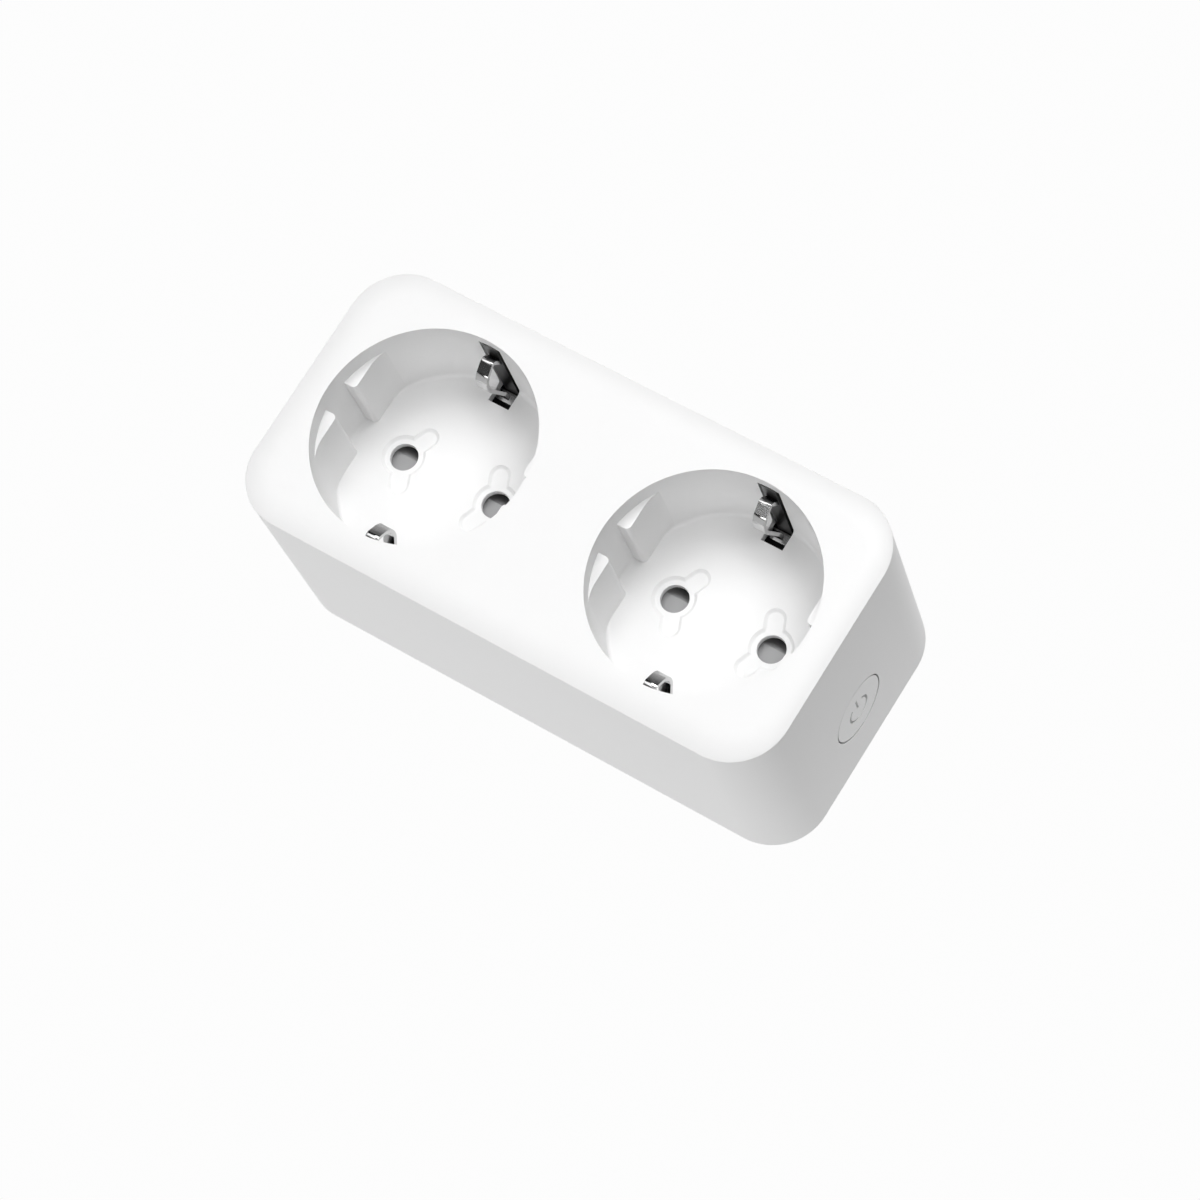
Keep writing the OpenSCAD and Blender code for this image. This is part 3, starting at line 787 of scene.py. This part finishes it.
SIGN_RADIUS = 2.46 * MM
STROKE = 0.5 * MM
SIGN_DEPTH = 0.3 * MM
SIGN_GAP = math.radians(70)
start = Vector((0, math.sin(SIGN_GAP / 2), math.cos(SIGN_GAP / 2)))
ring = outline("ring", [
    Vector((half_length + out * SIGN_DEPTH, 0, button_z)) + start * (SIGN_RADIUS + side * STROKE / 2)
    for out, side in ((-1, -1), (1, -1), (1, 1), (-1, 1))], closed=True)
bpy.ops.mesh.edge_face_add()
bpy.ops.mesh.spin(steps=72, angle=2 * math.pi - SIGN_GAP, center=button_centre, axis=(1, 0, 0))
close_up()
bar = block("bar", (half_length - SIGN_DEPTH, -STROKE / 2, button_z + 0.6 * MM),
            (half_length + SIGN_DEPTH, STROKE / 2, button_z + 3.4 * MM))
soften(bar, 0.2 * MM, 3)
combine(button_cap, "DIFFERENCE", ring, bar)
soften(button_cap, 0.05 * MM)
hand_over(button_cap, "power_button", "button", button_plastic, "power_button")
print("button faces:", len(button_cap.data.polygons))

# %% [markdown]
# ## Earth clips
# Each clip is one piece of spring strip: a band stands in the slot through the recess wall, and a narrower
# tongue is folded out of it, in over the plug's side and back down through the slot. The strip is drawn as
# its middle line, so the bends and the thickness come from modifiers, as a press brake would make them.

# %% Earth clips
clip_low, clip_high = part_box("earth_clip_right_a")
BAND_Y = 19.65 * MM
BAND_T = 0.6 * MM
BAND_HALF = 1.5 * MM
TONGUE_HALF = 1.15 * MM
TONGUE_T = 0.7 * MM
tongue_path = [(y * MM, face_z - drop * MM) for y, drop in (
    (BAND_Y / MM, 7.9), (18.25, 5.4), (17.75, 5.15), (15.75, 6.5), (15.0, 7.6), (14.8, 8.8), (14.87, 10.1),
    (17.3, 16.3), (17.45, 18.3))]


def earth_clip(side, across, hand):
    """One clip: band and tongue on one side of one socket."""
    name = "left" if side < 0 else "right"
    band = bent_strip("band", [(BAND_Y, clip_low.z), (BAND_Y, clip_high.z)], -BAND_HALF, BAND_HALF, BAND_T)
    tongue = bent_strip("tongue", tongue_path, -TONGUE_HALF, TONGUE_HALF, TONGUE_T, bend=0.35 * MM)
    combine(band, "UNION", tongue)
    soften(band, 0.05 * MM, 2, 40)
    clip = twin(band, f"{name}_clip_{hand}", move=(side * socket_x, 0, 0), flip=(1, across, 1))
    bpy.data.objects.remove(band)
    node = f"earth_clip_{name}_{hand}"
    hand_over(clip, node, "earth_metal", clip_metal, node)


for side in (-1, 1):
    for across, hand in ((1, "a"), (-1, "b")):
        earth_clip(side, across, hand)

# %% [markdown]
# ## Shutters and their springs
# Under each pair of holes lies a bar that a pin pushes aside by its ramp. The coil spring behind it is one
# small circle, screwed along the spring's axis.

# %% Shutters
for name in ("left", "right"):
    low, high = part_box(f"shutter_{name}")
    ramp_y = 0.9 * MM
    lip = 0.3 * MM
    shutter = prism(f"{name}_shutter_bar", [
        (low.x, low.y, low.z), (low.x, high.y, low.z), (low.x, high.y, low.z + lip),
        (low.x, ramp_y, high.z), (low.x, low.y, high.z)], (high.x - low.x, 0, 0))
    soften(shutter, 0.12 * MM, 3, 20)
    hand_over(shutter, f"shutter_{name}", "shutter_grey", grey_plastic, f"shutter_{name}")

# %% Springs
SPRING_TURNS = 6
for name in ("left", "right"):
    low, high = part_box(f"shutter_spring_{name}")
    middle = (low + high) / 2
    wire = 0.16 * MM
    reach = (high.x - low.x) / 2 - wire
    bpy.ops.mesh.primitive_circle_add(vertices=12, radius=wire, location=(reach, 0, 0))
    coil = settle(f"{name}_shutter_coil")
    modify(coil, "SCREW", axis="Y", angle=2 * math.pi, iterations=SPRING_TURNS, steps=24, render_steps=24,
           screw_offset=(high.y - low.y - 2 * wire) / SPRING_TURNS)
    coil.location = (middle.x, low.y + wire, middle.z)
    alone(coil)
    settle(coil.name)
    with editing(coil):
        pick(edges=lambda e: e.is_boundary)
        bpy.ops.mesh.edge_face_add()
        bpy.ops.mesh.select_all(action="SELECT")
        bpy.ops.mesh.normals_make_consistent(inside=False)
    hand_over(coil, "root", "spring_steel", spring_steel, f"shutter_spring_{name}")
    travel = next(j for j in frame["joints"] if j["name"] == f"shutter_{name}_slide")["range_m"][1]
    1 - travel / (high.y - low.y)
    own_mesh(coil)

# %% [markdown]
# ## Back cover and plug
# The cover closes the back and carries the round earthed plug. It is built as the mould maker sees it: a
# plate and a turned plug body, then the hollow, the flats, the earth grooves and the screw holes cut away.

# %% Rear shell
boss_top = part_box("back_cover")[1].z
plug_radius = 18.5 * MM
plug_half_hollow = 14.6 * MM
screw_hole, screw_seat, seat_depth = 1.7 * MM, 2.95 * MM, 1.2 * MM
rim = wall + 0.15 * MM
rear_shell = rounded_block("rear_shell", half_length - rim, half_width - rim, corner_radius - rim,
                           back_z, cover_z)
combine(rear_shell, "UNION", turned("plug_body", [
    (0, 0), *quarter_round(plug_radius, 0, 1.2 * MM), (plug_radius, back_z + lap), (0, back_z + lap)],
    (0, 0, 0), steps=128))
board_screw_places = [(40 * MM, 10 * MM), (-40 * MM, 10 * MM), (-40 * MM, -10 * MM)]
for x, y in board_screw_places:
    combine(rear_shell, "UNION",
            rod("boss", 2.4 * MM, (x, y, cover_z - lap), (x, y, boss_top), 40))
    combine(rear_shell, "DIFFERENCE",
            rod("hole", 1 * MM, (x, y, back_z + 0.8 * MM), (x, y, boss_top + MM), 24))
hollow = rod("hollow", plug_radius - wall, (0, 0, 2.5 * MM), (0, 0, cover_z + MM), 128)
combine(hollow, "INTERSECT", block("limit", (-plug_radius, -plug_half_hollow, 0),
                                   (plug_radius, plug_half_hollow, 30 * MM)))
combine(rear_shell, "DIFFERENCE", hollow)
for side in (-1, 1):
    combine(rear_shell, "DIFFERENCE",
            rod("hole", pin_hole, (side * pin_x, 0, -MM), (side * pin_x, 0, 3 * MM), 64))
    for across in (-1, 1):
        flat_x = sorted((side * 16.7 * MM, side * 20 * MM))
        flat_y = sorted((across * 2.4 * MM, across * 19 * MM))
        combine(rear_shell, "DIFFERENCE",
                block("flat", (flat_x[0], flat_y[0], -MM), (flat_x[1], flat_y[1], back_z - lap)))
        x, y = side * post_x, across * post_y
        combine(rear_shell, "DIFFERENCE",
                rod("hole", screw_hole, (x, y, back_z - MM), (x, y, cover_z + MM), 40),
                rod("seat", screw_seat, (x, y, back_z - MM), (x, y, back_z + seat_depth), 48))
for across in (-1, 1):
    for half_x, near, far, low, high in (
            (4.5, 16.2, 20, -1, 18), (2.7, 16.2, 17.4, -1, 21), (2.7, 15, 16.4, 0.9, 2.2)):
        groove_y = sorted((across * near * MM, across * far * MM))
        combine(rear_shell, "DIFFERENCE",
                block("groove", (-half_x * MM, groove_y[0], low * MM), (half_x * MM, groove_y[1], high * MM)))
soften(rear_shell, 0.2 * MM)
hand_over(rear_shell, "root", "shell", white_plastic, "back_cover")
print("rear shell faces:", len(rear_shell.data.polygons))

# %% Plug pins
pin_radius, neck_radius, collar_radius = 2.4 * MM, 2.1 * MM, 3.2 * MM
shank_radius, rivet_radius = 2 * MM, 1.5 * MM
neck_end, collar_end, shank_end = 2.6 * MM, 5.95 * MM, 19.5 * MM
for name in ("live", "neutral"):
    low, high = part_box(f"plug_pin_{name}")
    pin = turned(f"{name}_pin", [
        (0, low.z), *quarter_round(pin_radius, low.z, low.z + 1.2 * MM), (pin_radius, 0),
        (neck_radius, 0.1 * MM), (neck_radius, neck_end), (collar_radius, neck_end),
        (collar_radius, collar_end), (shank_radius, collar_end), (shank_radius, shank_end),
        (rivet_radius, shank_end), (rivet_radius, high.z), (0, high.z)],
        ((low.x + high.x) / 2, 0, 0))
    soften(pin, 0.08 * MM)
    hand_over(pin, "root", "pin_metal", nickel, f"plug_pin_{name}")

# %% Earth strips of the plug
strip_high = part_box("plug_earth_strip_a")[1]
strip_path = [(y * MM, z * MM) for y, z in (
    (15.2, 1.5), (16.55, 1.5), (16.95, 4), (17.3, 9), (17.0, 14), (16.8, 17), (16.8, strip_high.z / MM - 0.4),
    (strip_high.y / MM, strip_high.z / MM - 0.4))]
strip = bent_strip("strip", strip_path, -2.5 * MM, 2.5 * MM, 0.8 * MM, bend=0.5 * MM)
soften(strip, 0.1 * MM, 2, 50)
for across, hand in ((1, "a"), (-1, "b")):
    hand_over(twin(strip, f"plug_strip_{hand}", flip=(1, across, 1)), "root", "earth_metal", clip_metal,
              f"plug_earth_strip_{hand}")
bpy.data.objects.remove(strip)

# %% Cover screws
SCREW_HEAD = 2.7 * MM
SCREW_SHANK = 1.2 * MM
for number, (side, across) in enumerate(((-1, -1), (-1, 1), (1, -1), (1, 1)), 1):
    x, y = side * post_x, across * post_y
    low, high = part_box("cover_screws")
    screw = turned(f"cover_screw_{number}", [
        (0, low.z), *quarter_round(SCREW_HEAD, low.z, low.z + 0.5 * MM), (SCREW_HEAD, low.z + 1.1 * MM),
        (SCREW_SHANK, low.z + 1.1 * MM), (SCREW_SHANK, high.z - SCREW_SHANK / 2), (SCREW_SHANK / 2, high.z),
        (0, high.z)],
        (x, y, 0), steps=48)
    combine(screw, "DIFFERENCE", rod("socket", 0.9 * MM, (x, y, low.z - MM), (x, y, low.z + 0.7 * MM), 6))
    soften(screw, 0.06 * MM)
    stands_for = ("cover_screws",) if number == 1 else ()
    hand_over(screw, "root", "screw_steel", steel, *stands_for)

# %% [markdown]
# ## What is on the boards
# Wound and turned components are built like the other lathe parts. The pressed and moulded ones keep the
# shape of the engineering model: a copy of its mesh is merged, cleaned and given rounded edges.

# %% Capacitors and the fusible resistor
def capacitor(node):
    """A can with a crimped foot, a rounded shoulder and a scored vent in its top."""
    low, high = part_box(node)
    middle = (low + high) / 2
    radius = (high.x - low.x) / 2
    can = turned(f"{node}_can", [
        (0, low.z), (radius - 0.4 * MM, low.z), (radius, low.z + 0.4 * MM), (radius, low.z + 1.2 * MM),
        (radius - 0.35 * MM, low.z + 1.6 * MM), (radius, low.z + 2.0 * MM), (radius, high.z - 0.7 * MM),
        (radius - 0.2 * MM, high.z - 0.2 * MM), (radius - 0.7 * MM, high.z),
        (radius - 0.9 * MM, high.z - 0.15 * MM), (0, high.z - 0.15 * MM)], (middle.x, middle.y, 0), steps=48)
    vent = high.z - 0.3 * MM
    for half_x, half_y in ((0.6 * radius, 0.12 * MM), (0.12 * MM, 0.6 * radius)):
        combine(can, "DIFFERENCE", block("score", (middle.x - half_x, middle.y - half_y, vent),
                                         (middle.x + half_x, middle.y + half_y, high.z)))
    soften(can, 0.08 * MM, 2, 30)
    hand_over(can, "root", "can_sleeve", sleeve_blue, node)


for node in ("bulk_capacitor", "output_capacitor"):
    capacitor(node)

low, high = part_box("fuse_resistor")
radius = (high.z - low.z) / 2
resistor = turned("fuse_resistor_body", [
    (0, low.x), (0.6 * radius, low.x), (radius, low.x + 0.5 * MM), (radius, low.x + 1.8 * MM),
    (0.82 * radius, low.x + 2.6 * MM), (0.82 * radius, high.x - 2.6 * MM), (radius, high.x - 1.8 * MM),
    (radius, high.x - 0.5 * MM), (0.6 * radius, high.x), (0, high.x)],
    (0, (low.y + high.y) / 2, (low.z + high.z) / 2), axis="X", steps=40)
soften(resistor, 0.3 * MM, 3, 12)
hand_over(resistor, "root", "resistor_coat", cement_green, "fuse_resistor")

# %% Transformer: bobbin, core and winding
low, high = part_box("transformer")
middle = (low + high) / 2
bobbin = block("transformer_bobbin", (low.x, low.y, low.z), (high.x, high.y, low.z + 2 * MM))
combine(bobbin, "UNION", block("neck", (middle.x - 4.6 * MM, middle.y - 3.6 * MM, low.z + MM),
                               (middle.x + 4.6 * MM, middle.y + 3.6 * MM, high.z - 2.2 * MM)))
soften(bobbin, 0.25 * MM, 3)
hand_over(bobbin, "root", "black_plastic", black_plastic, "transformer")
core = block("transformer_core", (low.x, middle.y - 2.6 * MM, low.z + 2.1 * MM),
             (high.x, middle.y + 2.6 * MM, high.z))
combine(core, "DIFFERENCE", block("window", (low.x + 1.3 * MM, middle.y - 4 * MM, low.z + MM),
                                  (high.x - 1.3 * MM, middle.y + 4 * MM, high.z - 2 * MM)))
soften(core, 0.2 * MM, 2)
hand_over(core, "root", "winding_tape", ferrite)
winding = rounded_block("transformer_winding", 5.1 * MM, 4.2 * MM, 1.6 * MM, low.z + 2.1 * MM,
                        high.z - 2.1 * MM, 8)
with editing(winding):
    bpy.ops.mesh.select_all(action="SELECT")
    bpy.ops.transform.translate(value=(middle.x, middle.y, 0))
soften(winding, 0.3 * MM, 3)
hand_over(winding, "root", "winding_tape", tape_yellow)


# %% Pressed, moulded and etched pieces
def refined(node, finish, slot, edge, body="root", corner=35):
    """A merged copy of an engineering node with clean faces and rounded edges."""
    piece = bpy.data.objects.new(f"{node}_piece", frame["nodes"][node].data.copy())
    bpy.context.collection.objects.link(piece)
    with editing(piece):
        bpy.ops.mesh.customdata_custom_splitnormals_clear()
        bpy.ops.mesh.select_all(action="SELECT")
        bpy.ops.mesh.remove_doubles(threshold=0.001 * MM)
        bpy.ops.mesh.dissolve_limited(angle_limit=math.radians(1))
        bpy.ops.mesh.normals_make_consistent(inside=False)
    soften(piece, edge, 2, corner)
    hand_over(piece, body, slot, finish, node)


for finish, slot, edge, nodes in (
        (black_plastic, "black_plastic", 0.3, ("pin_holder",)),
        (clip_metal, "earth_metal", 0.1, ("earth_rail_a", "earth_rail_b")),
        (black_plastic, "black_plastic", 0.15, ("contact_block_left", "contact_block_right")),
        (steel, "screw_steel", 0.2, ("block_screws", "board_screws")),
        (brass, "contact_brass", 0.1, ("neutral_bar", "live_contact_left", "live_contact_right")),
        (black_plastic, "black_plastic", 0.2, ("switch_body",)),
        (board_green, "circuit_board", 0.06, ("control_board", "main_board")),
        (lens_white, "led_lens", 0.15, ("status_led",)),
        (relay_blue, "relay_blue", 0.5, ("relay_left", "relay_right")),
        (film_yellow, "film_case", 0.4, ("suppression_capacitor",)),
        (varistor_blue, "varistor_coat", 1.5, ("varistor",)),
        (black_plastic, "black_plastic", 0.3, ("bridge_rectifier",)),
        (tinned, "shield_can", 0.25, ("wifi_module",))):
    for node in nodes:
        refined(node, finish, slot, edge * MM)
refined("switch_plunger", amber_plastic, "plunger_amber", 0.3 * MM, body="switch_plunger")
